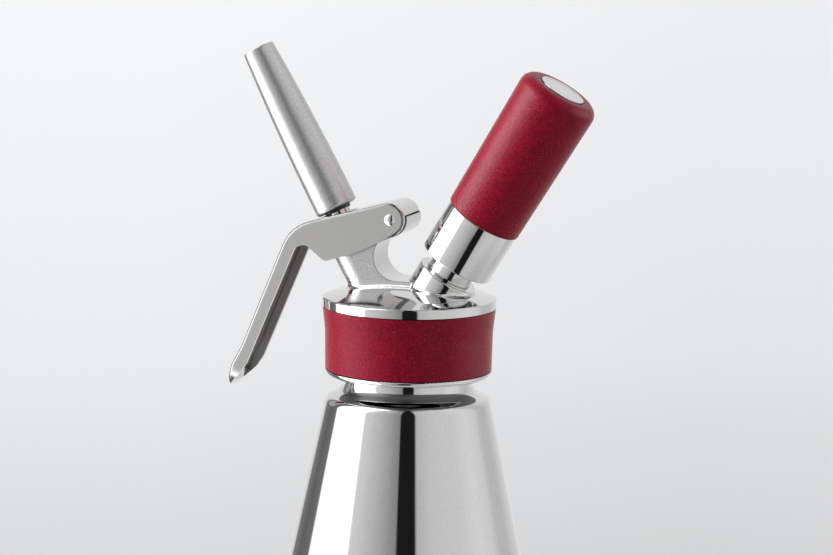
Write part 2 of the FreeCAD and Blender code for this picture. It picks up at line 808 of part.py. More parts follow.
def make_charger():
    """Steel gas cartridge, nose down in the port."""
    neck_top = charger_foot + charger_neck_length
    body_foot = neck_top + charger_shoulder
    inner = charger_radius - charger_wall
    shell = turned(
        (0, charger_foot),
        (charger_neck_radius, charger_foot, charger_nose_rounding),
        (charger_neck_radius, neck_top, charger_neck_rounding),
        (charger_radius, body_foot, charger_shoulder_rounding),
        (charger_radius, charger_top, charger_end_rounding),
        (0, charger_top))
    hollow = turned(
        (0, charger_foot - past),
        (neck_bore, charger_foot - past),
        (neck_bore, neck_top + charger_wall / 2, charger_neck_rounding),
        (inner, body_foot + charger_wall / 2, charger_shoulder_rounding),
        (inner, charger_top - charger_wall, charger_end_rounding - charger_wall),
        (0, charger_top - charger_wall))
    return on_axis(port_axis, shell.cut(hollow))


def make_charger_cap():
    """Pierced cap in the cartridge's nose."""
    return on_axis(port_axis, turned(
        (charger_cap_hole, charger_foot),
        (neck_bore, charger_foot),
        (neck_bore, charger_foot + charger_cap_thickness),
        (charger_cap_hole, charger_foot + charger_cap_thickness)))


bore_top = charger_top + charger_play
core_top = bore_top + sleeve_core_roof
grip_top = core_top + grip_roof


def make_holder_sleeve():
    """Steel holder: polished mouth, inner thread and a core that carries the grip."""
    thread_bore = stub_radius + thread_gap
    bore = charger_radius + charger_play
    return on_axis(port_axis, turned(
        (sleeve_radius - sleeve_rim_wall, sleeve_foot),
        (sleeve_radius, sleeve_foot, sleeve_edge_rounding),
        (sleeve_radius, grip_foot),
        (sleeve_core_radius, grip_foot),
        (sleeve_core_radius, core_top, sleeve_core_rounding),
        (0, core_top),
        (0, bore_top),
        (bore, bore_top, charger_end_rounding),
        (bore, sleeve_thread_top),
        (thread_bore, sleeve_thread_top),
        (thread_bore, sleeve_foot + sleeve_rim_depth),
        (sleeve_radius - sleeve_rim_wall, sleeve_foot + sleeve_rim_depth)))


def make_holder_grip():
    """Red silicone grip over the sleeve's core, with a recess for the badge."""
    recess = badge_radius + badge_gap
    return on_axis(port_axis, turned(
        (sleeve_core_radius, grip_foot),
        (grip_foot_radius, grip_foot, grip_foot_rounding),
        (grip_top_radius, grip_top, grip_top_rounding),
        (recess, grip_top, badge_rounding),
        (recess, grip_top - badge_depth),
        (0, grip_top - badge_depth),
        (0, core_top),
        (sleeve_core_radius, core_top, sleeve_core_rounding)))


def make_holder_badge():
    """Plain round badge with a narrow raised rim, pressed into the grip's top."""
    face = grip_top + badge_proud
    return on_axis(port_axis, turned(
        (0, grip_top - badge_depth),
        (badge_radius, grip_top - badge_depth),
        (badge_radius, face + badge_rim_height, badge_rounding),
        (badge_radius - badge_rim, face + badge_rim_height, badge_rounding),
        (badge_radius - badge_rim, face),
        (0, face)))


makers = {
    "bottle": make_bottle,
    "head": make_head,
    "head_band": make_head_band,
    "head_gasket": make_head_gasket,
    "lever": make_lever,
    "lever_pin": make_lever_pin,
    "valve_stem": make_valve_stem,
    "valve_seal": make_valve_seal,
    "stem_rings": make_stem_rings,
    "valve_spring": make_valve_spring,
    "tip_adaptor": make_tip_adaptor,
    "nozzle_washer": make_nozzle_washer,
    "nozzle": make_nozzle,
    "port_insert": make_port_insert,
    "piercing_pin": make_piercing_pin,
    "charger_gasket": make_charger_gasket,
    "check_valve_sleeve": make_check_valve_sleeve,
    "charger": make_charger,
    "charger_cap": make_charger_cap,
    "holder_sleeve": make_holder_sleeve,
    "holder_grip": make_holder_grip,
    "holder_badge": make_holder_badge,
}

os.makedirs("parts", exist_ok=True)
for node, make in makers.items():
    shape = make()
    shape.translate(spot(0, band_level))
    shape.exportStep(os.path.join("parts", node + ".step"))
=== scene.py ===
import bmesh
import bpy
import json
import math
import numpy as np
from mathutils import Matrix, Vector

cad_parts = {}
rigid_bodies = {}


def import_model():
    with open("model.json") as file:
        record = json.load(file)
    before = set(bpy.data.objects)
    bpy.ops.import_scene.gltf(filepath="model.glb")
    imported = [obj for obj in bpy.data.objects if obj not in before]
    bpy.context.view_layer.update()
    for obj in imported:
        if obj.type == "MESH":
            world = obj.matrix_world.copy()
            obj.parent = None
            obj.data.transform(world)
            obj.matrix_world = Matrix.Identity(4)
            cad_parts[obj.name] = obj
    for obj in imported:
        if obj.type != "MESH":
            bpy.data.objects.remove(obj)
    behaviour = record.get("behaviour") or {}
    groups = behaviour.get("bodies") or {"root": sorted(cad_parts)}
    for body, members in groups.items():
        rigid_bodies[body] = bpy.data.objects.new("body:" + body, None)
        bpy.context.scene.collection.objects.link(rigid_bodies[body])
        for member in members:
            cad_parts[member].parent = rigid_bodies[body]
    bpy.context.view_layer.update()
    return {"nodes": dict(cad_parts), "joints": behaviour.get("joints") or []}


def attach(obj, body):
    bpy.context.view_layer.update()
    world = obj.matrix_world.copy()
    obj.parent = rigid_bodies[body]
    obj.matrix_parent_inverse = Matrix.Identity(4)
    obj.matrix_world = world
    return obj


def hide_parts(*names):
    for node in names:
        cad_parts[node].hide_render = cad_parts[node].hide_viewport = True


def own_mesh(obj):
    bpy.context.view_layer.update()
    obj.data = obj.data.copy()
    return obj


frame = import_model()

nodes = frame["nodes"]
joints = {joint["name"]: joint for joint in frame["joints"]}
mm = 0.001


# ---------------------------------------------------------------- the view
# A long lens a little above the head looks down on it from the front right.
# The camera is turned a degree about its own axis, as a hand-levelled tripod is.

view_azimuth = math.radians(19.0)
view_elevation = math.radians(8.8)
view_roll = math.radians(1.0)
view_distance = 1.5
view_target = Vector((0.0029, 0.0, 0.2438))
pixels_per_radian = 3645.0
image_width = 833
sensor_width = 36.0


def place_camera():
    """Camera whose back, right and up axes come from its azimuth, elevation and roll."""
    back = Vector((math.sin(view_azimuth) * math.cos(view_elevation),
                   -math.cos(view_azimuth) * math.cos(view_elevation),
                   math.sin(view_elevation)))
    level = Vector((math.cos(view_azimuth), math.sin(view_azimuth), 0.0))
    upright = back.cross(level)
    right = level * math.cos(view_roll) + upright * math.sin(view_roll)
    up = upright * math.cos(view_roll) - level * math.sin(view_roll)
    data = bpy.data.cameras.new("camera")
    data.sensor_width = sensor_width
    data.lens = pixels_per_radian * sensor_width / image_width
    camera = bpy.data.objects.new("camera", data)
    camera.matrix_world = Matrix((right, up, back)).transposed().to_4x4()
    camera.location = view_target + back * view_distance
    bpy.context.scene.collection.objects.link(camera)
    bpy.context.scene.camera = camera


place_camera()
bpy.context.scene.view_settings.view_transform = "Standard"


# ---------------------------------------------------------------- the studio
# Polished steel shows the room it stands in: tall panels round the object, with a white
# softbox on the left, a black one behind the camera, and a dark gap in the ceiling.
# The floor is a pale sheet that rises out of sight, and fades out of what the steel shows.

studio_bands = [              # degrees right of the camera, and how bright the panel is there
    (-180, 0.84), (-152, 0.80), (-147, 0.24), (-130, 0.15), (-114, 0.20), (-108, 3.00),
    (-64, 3.00), (-60, 0.82), (-50, 0.74), (-38, 0.58), (-24, 0.36), (-17, 0.30),
    (-15.5, 0.012), (3, 0.012), (5, 0.58), (26, 0.70), (60, 0.74), (85, 0.85),
    (104, 0.76), (112, 0.62), (128, 0.60), (140, 0.70), (160, 0.80), (180, 0.84)]
stripe_middle = 0.0           # where the black panel stands, in the same degrees
stripe_reach = (45.0, 20.0)   # degrees from there at which panels start to lean with it, and lean fully
stripe_drift = math.radians(7.0)      # how far right it leans
stripe_levels = (-20, -12)    # degrees above the horizon between which it comes to lean that far
softbox_edge = -55.0          # the same four for the softbox's right edge, which leans out low down
softbox_reach = (45.0, 10.0)
softbox_drift = math.radians(14.0)
softbox_levels = (-12, -28)
panel_foot = (-52, -40)       # degrees above the horizon between which the panels begin
panel_top = (71, 77)          # and end
ceiling_glow = 0.03
ground_glow = 0.50
backdrop_glow = 0.88
backdrop_blue = 1.01          # blue over red and green there
floor_tone = 0.8
floor_radius = 9.0
near_floor_radius = 0.25      # the table; beyond it, steel shows the panels and not the floor
mirror_fade = 0.3             # share of that radius from which its mirror image fades
floor_depth = 6.5             # metres from the camera over which the floor's painted light changes
floor_painted_shades = [              # share of that depth, and the floor's painted shade there
    (0.0, 0.60), (0.30, 0.62), (0.34, 0.68), (0.42, 0.77), (0.60, 0.82), (0.90, 0.855), (1.0, 0.85)]
floor_dim = 0.085             # share of light that it loses to the right
floor_dim_sides = (-0.07, 0.08)       # place to the right, over the depth, between which it does
floor_glow = 0.225            # how much of its light is its own
floor_tint = (0.992, 1.0, 1.012)


def socket_of(node, name):
    """Input by its name, or by its number when the name is like i2."""
    return node.inputs[int(name[1:])] if name[1:].isdigit() else node.inputs[name]


def node_of(tree, kind, setting=None, **inputs):
    """New shader node. A setting is (attribute, value); the other values go to its inputs."""
    node = tree.nodes.new(kind)
    if setting:
        setattr(node, *setting)
    for name, value in inputs.items():
        socket = socket_of(node, name)
        if isinstance(value, bpy.types.NodeSocket):
            tree.links.new(value, socket)
        else:
            socket.default_value = value
    return node


def maths(tree, operation, first, second=0.0):
    """Output of a Math node."""
    return node_of(tree, "ShaderNodeMath", ("operation", operation), i0=first, i1=second).outputs[0]


def blended(tree, share, first, second):
    """Colour that goes from the first to the second as share goes from 0 to 1."""
    return node_of(tree, "ShaderNodeMix", ("data_type", "RGBA"),
                   i0=share, i6=first, i7=second).outputs[2]


def tone(value, blue=1.0):
    """Opaque colour from an (r, g, b), or from a grey level and how much bluer it is."""
    return (*value, 1.0) if isinstance(value, tuple) else (value, value, value * blue, 1.0)


def ramp(tree, share, stops):
    """Colour ramp through (position, grey level) stops, the first at 0 and the last at 1."""
    node = node_of(tree, "ShaderNodeValToRGB", Fac=share)
    steps = node.color_ramp.elements
    for position, level in stops[1:-1]:
        steps.new(position).color = tone(level)
    steps[0].color = tone(stops[0][1])
    steps[-1].color = tone(stops[-1][1])
    return node.outputs["Color"]


def stepped(tree, value, start, end):
    """0 before the start and 1 after the end, straight between."""
    node = node_of(tree, "ShaderNodeMapRange", ("clamp", True), Value=value)
    node.inputs["From Min"].default_value = start
    node.inputs["From Max"].default_value = end
    return node.outputs[0]


def drift_of(tree, around, height, middle, reach, levels, most):
    """How far panels lean right, in radians.

    It is the most within the second reach of a middle azimuth and none past the first, and
    grows from none to that between two levels.
    """
    off = maths(tree, "ABSOLUTE", maths(tree, "SUBTRACT", around, math.radians(middle)))
    near = stepped(tree, off, *map(math.radians, reach))
    return maths(tree, "MULTIPLY", maths(tree, "MULTIPLY", stepped(tree, height, *levels), near), most)


def light_studio():
    """World whose brightness depends on the direction alone: bands round the camera, and a ceiling.

    The camera itself sees an even backdrop.
    """
    world = bpy.data.worlds.new("studio")
    world.use_nodes = True
    tree = world.node_tree
    tree.nodes.clear()
    direction = node_of(tree, "ShaderNodeTexCoord").outputs["Generated"]
    facing = node_of(tree, "ShaderNodeVectorRotate", ("rotation_type", "Z_AXIS"),
                     Vector=direction, Angle=math.pi / 2 - view_azimuth)
    parts = node_of(tree, "ShaderNodeSeparateXYZ", Vector=facing.outputs[0])
    around = maths(tree, "ARCTAN2", parts.outputs["Y"], parts.outputs["X"])
    height = maths(tree, "DEGREES", maths(tree, "ARCSINE", parts.outputs["Z"]))
    stripe = drift_of(tree, around, height, stripe_middle, stripe_reach, stripe_levels, stripe_drift)
    softbox = drift_of(tree, around, height, softbox_edge, softbox_reach, softbox_levels,
                       softbox_drift)
    straight = maths(tree, "SUBTRACT", around, maths(tree, "ADD", stripe, softbox))
    share = maths(tree, "ADD", maths(tree, "DIVIDE", straight, 2 * math.pi), 0.5)
    walls = ramp(tree, share, [((angle + 180) / 360, glow) for angle, glow in studio_bands])
    on_panels = blended(tree, stepped(tree, height, *panel_foot), tone(ground_glow), walls)
    room = blended(tree, stepped(tree, height, *panel_top), on_panels, tone(ceiling_glow))
    seen = node_of(tree, "ShaderNodeLightPath").outputs["Is Camera Ray"]
    shown = blended(tree, seen, room, tone(backdrop_glow, backdrop_blue))
    glow = node_of(tree, "ShaderNodeBackground", Color=shown, Strength=1.0)
    out = tree.nodes.new("ShaderNodeOutputWorld")
    tree.links.new(glow.outputs[0], out.inputs["Surface"])
    bpy.context.scene.world = world


def material_of(name, colour, metallic, roughness, **settings):
    """Material with one shader; settings are its other sockets, with _ for a space."""
    material = bpy.data.materials.new(name)
    material.use_nodes = True
    shader = material.node_tree.nodes["Principled BSDF"]
    shader.inputs["Base Color"].default_value = tone(colour)
    shader.inputs["Metallic"].default_value = metallic
    shader.inputs["Roughness"].default_value = roughness
    for setting, value in settings.items():
        shader.inputs[setting.replace("_", " ")].default_value = value
    return material


def pale_floor():
    """Pale sheet with painted light, brighter with distance and darker to the right.

    Seen in steel, it fades out towards the near floor's edge.
    """
    material = material_of("pale_floor", floor_tone, 0.0, 0.6, Specular_IOR_Level=0.2)
    tree = material.node_tree
    shader = tree.nodes["Principled BSDF"]
    place = node_of(tree, "ShaderNodeTexCoord").outputs["Object"]
    turned_place = node_of(tree, "ShaderNodeVectorRotate", ("rotation_type", "Z_AXIS"),
                           Vector=place, Angle=-view_azimuth)
    parts = node_of(tree, "ShaderNodeSeparateXYZ", Vector=turned_place.outputs[0])
    away = node_of(tree, "ShaderNodeVectorMath", ("operation", "LENGTH"), i0=place).outputs["Value"]
    depth = maths(tree, "ADD", away, view_distance)
    far = maths(tree, "DIVIDE", depth, floor_depth)
    # painted light: brighter with distance, darker to the right, and partly glowing
    shade = ramp(tree, far, floor_painted_shades)
    sideways = stepped(tree, maths(tree, "DIVIDE", parts.outputs["X"], depth), *floor_dim_sides)
    darker = blended(tree, sideways, shade, blended(tree, floor_dim, shade, tone(0.0)))
    colour = node_of(tree, "ShaderNodeVectorMath", ("operation", "MULTIPLY"),
                     i0=darker, i1=floor_tint).outputs[0]
    tree.links.new(colour, shader.inputs["Base Color"])
    tree.links.new(colour, shader.inputs["Emission Color"])
    shader.inputs["Emission Strength"].default_value = floor_glow
    mirrored = node_of(tree, "ShaderNodeLightPath").outputs["Is Glossy Ray"]
    edge = stepped(tree, away, mirror_fade * near_floor_radius, near_floor_radius)
    fade = maths(tree, "MULTIPLY", mirrored, edge)
    clear = tree.nodes.new("ShaderNodeBsdfTransparent")
    both = node_of(tree, "ShaderNodeMixShader", i0=fade, i1=shader.outputs[0], i2=clear.outputs[0])
    tree.links.new(both.outputs[0], tree.nodes["Material Output"].inputs["Surface"])
    return material


def lay_floor(name, inner, outer, mirrored):
    """Level ring of the floor: radius times direction, from the inner radius to the outer one."""
    rings = np.geomspace(max(inner, 0.001), outer, 6)
    angles = np.linspace(0, 2 * math.pi, 96, endpoint=False)
    radius, angle = np.meshgrid(rings, angles, indexing="ij")
    points = np.stack([radius * np.cos(angle), radius * np.sin(angle), 0 * radius], -1)
    mesh = bpy.data.meshes.new(name)
    mesh.from_pydata(points.reshape(-1, 3), [], grid_faces(*radius.shape, wrap=True))
    floor = bpy.data.objects.new(name, mesh)
    bpy.context.scene.collection.objects.link(floor)
    floor.data.materials.append(pale_floor())
    floor.visible_glossy = mirrored


def grid_faces(rows, columns, wrap):
    """Quads of a grid of points; wrap joins the last column to the first."""
    row, column = np.meshgrid(np.arange(rows - 1), np.arange(columns - (not wrap)), indexing="ij")
    beside = (column + 1) % columns
    corners = [row * columns + column, row * columns + beside,
               (row + 1) * columns + beside, (row + 1) * columns + column]
    return np.stack(corners, -1).reshape(-1, 4)


light_studio()
lay_floor("near_floor", 0.0, near_floor_radius, mirrored=True)
lay_floor("far_floor", near_floor_radius, floor_radius, mirrored=False)


# ---------------------------------------------------------------- bottle
# Deep-drawn from one sheet of stainless steel and polished on a lathe, which leaves faint
# level lines round it. Its neck is rolled with a coarse thread for the head.

band_level = 232.0            # millimetres above the floor, where the red band's top edge is
bottle_wall = 1.2
neck_drop = 0.65              # how far the inside lies under the outside, in walls, at the neck
shoulder_drop = 0.70          # and at the shoulder
shoulder_inset = 0.85         # and how far in
bottle_radius = 52.0
base_rounding = 11.0
base_dish_radius = 30.0
base_dish_depth = 2.5
base_dish_rounding = 3.0
flank_top = 192.0
flank_top_radius = 34.4
flank_end = 110.0
flank_rounding = 170.0
shoulder_level = 194.0
shoulder_rounding = 4.5
neck_radius = 26.2
neck_foot = 197.5
neck_fillet = 7.0
neck_top = 207.0              # where the wall begins to step out to the thread
thread_foot = 208.0
thread_root = 26.6
thread_crest = 27.5
thread_pitch = 4.5
ridge_foot = 210.5
ridge_top = 221.0
thread_sides = 0.24           # share of the pitch from the middle of a ridge to its foot
thread_sink = 0.12            # how deep a ridge is rooted in its wall
mouth_level = 224.0
lathe_steps = 256
polished_tone = (0.74, 0.735, 0.73)
polish_roughness = (0.02, 0.09)
dust_scale = 1800.0
dust_tones = (0.64, 0.84)     # darkest and brightest specks
# painted shade, which darkens the colour in corners and narrow gaps
corner_shade_tone = 0.04
corner_shade_reach = 0.0014           # metres of a corner that get painted shade
corner_shade_share = (0.30, 0.72)     # share of open sky between which it lightens


def rounded(corners, steps=10):
    """Outline through (radius, level, rounding) corners.

    A rounded corner is an arc tangent to both its sides: from the corner, it starts and ends
    at rounding / tan(half the corner's angle) along each side.
    """
    places = np.array([corner[:2] for corner in corners], float)
    outline = []
    for index, here in enumerate(places):
        rounding = corners[index][2] if len(corners[index]) > 2 else 0
        if not rounding:
            outline.append(here[None])
            continue
        back = places[index - 1] - here
        ahead = places[(index + 1) % len(places)] - here
        back, ahead = back / np.linalg.norm(back), ahead / np.linalg.norm(ahead)
        half = math.acos(np.clip(back @ ahead, -1, 1)) / 2
        inward = (back + ahead) / np.linalg.norm(back + ahead)
        centre = here + inward * rounding / math.sin(half)
        swing = np.linspace(-1, 1, steps)[:, None] * (math.pi / 2 - half)
        side = (ahead - back) / np.linalg.norm(ahead - back)
        outline.append(centre + rounding * (side * np.sin(swing) - inward * np.cos(swing)))
    return np.concatenate(outline)


def turned(outline, steps=lathe_steps):
    """Surface of revolution of a closed outline: (r cos a, r sin a, level). Points and quads."""
    loop = np.vstack([outline, outline[:1]])
    angle = np.linspace(0, 2 * math.pi, steps, endpoint=False)
    radius, level = loop[:, :1], loop[:, 1:]
    points = np.stack([radius * np.cos(angle), radius * np.sin(angle), level + 0 * angle], -1)
    return points.reshape(-1, 3), grid_faces(len(loop), steps, wrap=True)


def thread(root, crest, pitch, foot, top, phase=0.0, steps=96):
    """Ridge of a right-hand thread, as points and quads.

    Along it the level climbs by the pitch each turn. Across it the radius goes from a little
    under the root up to the crest and back, and its height fades to nothing at both ends.
    """
    turns = (top - foot) / pitch
    along = np.linspace(0, turns, int(turns * steps))[:, None]
    fade = np.clip(np.minimum(along, turns - along) * 4, 0, 1)
    across = np.array([-1.0, -0.45, 0.45, 1.0, 0.6, -0.6])
    height = np.array([0.0, 1.0, 1.0, 0.0, 0.0, 0.0])
    sunk = np.array([0.0, 0.0, 0.0, 0.0, 1.0, 1.0])
    sink = thread_sink * np.sign(crest - root)
    radius = root + (crest - root) * height * fade - sink * (sunk + (1 - sunk) * (1 - fade))
    level = foot + pitch * along + across * pitch * thread_sides
    angle = 2 * math.pi * along + phase
    points = np.stack([radius * np.cos(angle), radius * np.sin(angle), level], -1)
    return points.reshape(-1, 3), grid_faces(len(along), len(across), wrap=True)


def piece(name, parts, place=None, sharp=32.0):
    """Object made of (points, quads) in millimetres, put in place in its mesh."""
    shift = 0
    points, quads = [], []
    for part_points, part_quads in parts:
        points.append(part_points)
        quads.append(part_quads + shift)
        shift += len(part_points)
    mesh = bpy.data.meshes.new(name)
    mesh.from_pydata(np.concatenate(points) * mm, [], np.concatenate(quads))
    work = bmesh.new()
    work.from_mesh(mesh)
    bmesh.ops.remove_doubles(work, verts=work.verts, dist=1e-7)
    bmesh.ops.dissolve_degenerate(work, edges=work.edges, dist=1e-8)
    open_edges = [edge for edge in work.edges if edge.is_boundary]
    bmesh.ops.holes_fill(work, edges=open_edges, sides=8)
    bmesh.ops.recalc_face_normals(work, faces=work.faces)
    work.to_mesh(mesh)
    work.free()
    if place:
        mesh.transform(place)
    mesh.shade_smooth()
    mesh.set_sharp_from_angle(angle=math.radians(sharp))
    made = bpy.data.objects.new(name, mesh)
    bpy.context.scene.collection.objects.link(made)
    return made


def dress(made, body, material, replaced=()):
    """Piece gets its body and its finish, and may stand for CAD nodes."""
    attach(made, body)
    if replaced:
        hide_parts(*replaced)
    made.data.materials.clear()
    made.data.materials.append(material)


def grain(tree, scale, detail=3.0, turned_by=0.0, spread=0.5):
    """Noise on Object coordinates, with a scale in features a metre, or one for each axis."""
    along = scale if isinstance(scale, tuple) else (scale, scale, scale)
    place = node_of(tree, "ShaderNodeTexCoord").outputs["Object"]
    mapping = node_of(tree, "ShaderNodeMapping", ("vector_type", "TEXTURE"), Vector=place,
                      Rotation=(0.0, turned_by, 0.0),
                      Scale=tuple(1.0 / value for value in along))
    return node_of(tree, "ShaderNodeTexNoise", Vector=mapping.outputs[0], Scale=1.0,
                   Detail=detail, Roughness=spread).outputs["Fac"]


def ranged(tree, share, low, high):
    """Share from 0 to 1 carried to a range."""
    return maths(tree, "ADD", maths(tree, "MULTIPLY", share, high - low), low)


def textured(material, roughness=None, height=None, depth=1e-5, colour=None):
    """Links a roughness, a colour and a bump of a depth in metres to a material's shader."""
    tree = material.node_tree
    shader = tree.nodes["Principled BSDF"]
    if roughness is not None:
        tree.links.new(roughness, shader.inputs["Roughness"])
    if colour is not None:
        tree.links.new(colour, shader.inputs["Base Color"])
    if height is not None:
        bump = node_of(tree, "ShaderNodeBump", Height=height, Distance=depth, Strength=1.0)
        tree.links.new(bump.outputs[0], shader.inputs["Normal"])
    return material


def painted_corner_shade(tree, colour, dark=corner_shade_tone):
    """Colour darkened with painted shade in the last millimetre of a corner, where other surfaces stand
    close.
    """
    sky = node_of(tree, "ShaderNodeAmbientOcclusion", ("samples", 6), Distance=corner_shade_reach)
    return blended(tree, stepped(tree, sky.outputs["AO"], *corner_shade_share), tone(dark), colour)


def polished_steel(name, lean=0.0, lines=1400.0):
    """Mirror polish with faint lathe lines square to an axis that leans by an angle."""
    material = material_of(name, polished_tone, 1.0, 0.05)
    tree = material.node_tree
    ring = grain(tree, (9.0, 9.0, lines), turned_by=lean)
    cloud = grain(tree, 35.0)
    dust = blended(tree, grain(tree, dust_scale), *map(tone, dust_tones))
    # dust specks, with painted shade in the corners
    return textured(material, roughness=ranged(tree, cloud, *polish_roughness),
                    height=ring, depth=1.2e-6, colour=painted_corner_shade(tree, dust))


def make_bottle():
    """Outside and inside walls of the bottle as one closed outline, with its rolled thread."""
    inner = bottle_wall
    slope = (bottle_radius - flank_top_radius) / (flank_top - flank_end)
    shoulder = flank_top_radius - slope * (shoulder_level - flank_top)
    outline = rounded([
        (0.0, base_dish_depth),
        (base_dish_radius, base_dish_depth, base_dish_rounding),
        (base_dish_radius + 3 * base_dish_depth, 0.0, base_dish_rounding),
        (bottle_radius, 0.0, base_rounding),
        (bottle_radius, flank_end, flank_rounding),
        (shoulder, shoulder_level, shoulder_rounding),
        (neck_radius, neck_foot, neck_fillet),
        (neck_radius, neck_top, 0.6),
        (thread_root, thread_foot, 0.6),
        (thread_root, mouth_level, 0.8),
        (neck_radius - inner, mouth_level, 0.6),
        (neck_radius - inner, neck_foot - neck_drop * inner, neck_fillet + inner),
        (shoulder - shoulder_inset * inner, shoulder_level - shoulder_drop * inner,
         shoulder_rounding - inner),
        (bottle_radius - inner, flank_end, flank_rounding),
        (bottle_radius - inner, inner, base_rounding - inner),
        (base_dish_radius + 3 * base_dish_depth, inner, base_dish_rounding),
        (base_dish_radius, base_dish_depth + inner, base_dish_rounding),
        (0.0, base_dish_depth + inner)], steps=14)
    ridge = thread(thread_root, thread_crest, thread_pitch, ridge_foot, ridge_top)
    return piece("bottle", [turned(outline), ridge])


dress(make_bottle(), "bottle_body", polished_steel("polished_bottle"), ["bottle"])


# ---------------------------------------------------------------- head
# Cast in stainless steel: a domed roof with a rim and a skirt, and on it the valve post, the
# lug for the lever and the boss for the charger. The low parts are polished bright, and the
# post and lug are left satin. Both its threads are cut in the casting.

valve_foot = -11.0
port_foot = 8.6
skirt_bore = 28.0
skirt_crest = 27.2
skirt_thread_foot = 206.5
skirt_thread_top = 220.0
stub_radius = 9.6
stub_thread_foot = 25.5
stub_thread_top = 38.0
stub_crest = 9.92
stub_pitch = 1.75
polish_radius = 0.0134        # metres from the charger port's axis within which it is polished
polish_fade = 0.0003          # metres over which that ends
satin_level = 0.2428          # metres above the floor, where the post's satin begins
satin_fade = 0.0004
satin_facing = (0.30, 0.60)   # how far a face points forwards or back, from polished to satin
satin_tones = (0.30, 0.92)    # darkest and brightest grains of the satin
satin_roughness = (0.32, 0.50)
bright_roughness = (0.03, 0.09)
upper_roughness = 0.14        # added on the other faces of the post and lug
edge_reflection_tone = 0.20
edge_reflection_width = 0.0007           # metres of an edge that gets a painted dark reflection
edge_reflection_bend = (0.995, 0.95)     # cosines of the bend between which it darkens
under_shade_tone = 0.20             # painted shade on the turned face under the skirt
under_roughness = 0.38
under_facing = (-0.95, -0.98)


def on_axis(joint_name, foot_x):
    """Turn and shift from a piece made about Z to a joint's leaning axis, in metres."""
    axis = Vector(joints[joint_name]["axis"])
    lean = math.atan2(axis.x, axis.z)
    return (Matrix.Translation((foot_x * mm, 0, band_level * mm))
            @ Matrix.Rotation(lean, 4, "Y"))


valve_axis = on_axis("nozzle_rise", valve_foot)
port_axis = on_axis("charger_lift", port_foot)


def from_axis(tree, axis):
    """Distance from a leaning axis: the length of the place's x and y in the axis's own frame."""
    place = node_of(tree, "ShaderNodeTexCoord").outputs["Object"]
    mapping = node_of(tree, "ShaderNodeMapping", ("vector_type", "TEXTURE"), Vector=place,
                      Location=axis.to_translation(), Rotation=axis.to_euler(),
                      Scale=(1.0, 1.0, 1.0))
    flat = node_of(tree, "ShaderNodeVectorMath", ("operation", "MULTIPLY"),
                   i0=mapping.outputs[0], i1=(1.0, 1.0, 0.0))
    return node_of(tree, "ShaderNodeVectorMath", ("operation", "LENGTH"),
                   i0=flat.outputs[0]).outputs["Value"]


def cast_steel():
    """Polished and satin steel in one casting.

    It is satin where it is high enough, far enough from the port, and faces the front or the
    back; smoother on its other high faces; turned under the skirt; and polished elsewhere.
    Its high edges have a painted dark reflection, and under the skirt and in its corners it has
    painted shade.
    """
    material = material_of("cast_steel", polished_tone, 1.0, 0.05)
    tree = material.node_tree
    place = node_of(tree, "ShaderNodeTexCoord")
    level = node_of(tree, "ShaderNodeSeparateXYZ", Vector=place.outputs["Object"]).outputs["Z"]
    facing = node_of(tree, "ShaderNodeSeparateXYZ", Vector=place.outputs["Normal"])
    high = stepped(tree, level, satin_level, satin_level + satin_fade)
    outside = stepped(tree, from_axis(tree, port_axis), polish_radius,
                      polish_radius + polish_fade)
    upper = maths(tree, "MULTIPLY", high, outside)
    flat = stepped(tree, maths(tree, "ABSOLUTE", facing.outputs["Y"]), *satin_facing)
    satin = maths(tree, "MULTIPLY", upper, flat)
    under = stepped(tree, facing.outputs["Z"], *under_facing)

    streaks = grain(tree, (900.0, 900.0, 140.0), detail=4.0, turned_by=-0.45)
    speckle = grain(tree, 1700.0, detail=2.0)
    cloud = grain(tree, 60.0)
    dull = ranged(tree, streaks, *satin_roughness)
    bright = maths(tree, "ADD", ranged(tree, cloud, *bright_roughness),
                   maths(tree, "MULTIPLY", upper, upper_roughness))
    cast = maths(tree, "ADD", maths(tree, "MULTIPLY", satin, dull),
                 maths(tree, "MULTIPLY", maths(tree, "SUBTRACT", 1.0, satin), bright))
    roughness = maths(tree, "MAXIMUM", cast, maths(tree, "MULTIPLY", under, under_roughness))
    relief = maths(tree, "MULTIPLY", satin, maths(tree, "ADD", streaks, speckle))

    grains = blended(tree, grain(tree, 1500.0, detail=2.0), *map(tone, satin_tones))
    # painted dark reflection along the rounded edges of the high parts
    softened = node_of(tree, "ShaderNodeBevel", ("samples", 6), Radius=edge_reflection_width).outputs[0]
    true = node_of(tree, "ShaderNodeNewGeometry").outputs["Normal"]
    bend = node_of(tree, "ShaderNodeVectorMath", ("operation", "DOT_PRODUCT"), i0=softened, i1=true)
    edge = maths(tree, "MULTIPLY", stepped(tree, bend.outputs["Value"], *edge_reflection_bend), upper)
    faces = blended(tree, satin, tone(polished_tone), grains)
    with_edge_reflection = blended(tree, edge, faces, tone(edge_reflection_tone))
    # painted shade under the skirt and in the corners
    return textured(material, roughness=roughness, height=relief, depth=3.0e-5,
                    colour=painted_corner_shade(tree, blended(tree, under, with_edge_reflection, tone(under_shade_tone))))


def finish(node, material):
    """CAD node gets a finish in place of its plain one."""
    nodes[node].data.materials.clear()
    nodes[node].data.materials.append(material)


finish("head", cast_steel())
skirt_ridge = thread(skirt_bore, skirt_crest, thread_pitch, skirt_thread_foot, skirt_thread_top,
                     phase=math.pi)
stub_ridge = thread(stub_radius, stub_crest, stub_pitch, stub_thread_foot, stub_thread_top)
dress(piece("head_thread", [skirt_ridge]), "head_body",
      polished_steel("cut_steel"))
dress(piece("stub_thread", [stub_ridge], port_axis), "head_body",
      polished_steel("stub_steel"))


# ---------------------------------------------------------------- gasket
# Flat ring of pale silicone that seals the head on the bottle's mouth, with a tab to pull it
# out by. Moulded, so it is matte, a little cloudy and very slightly pitted.

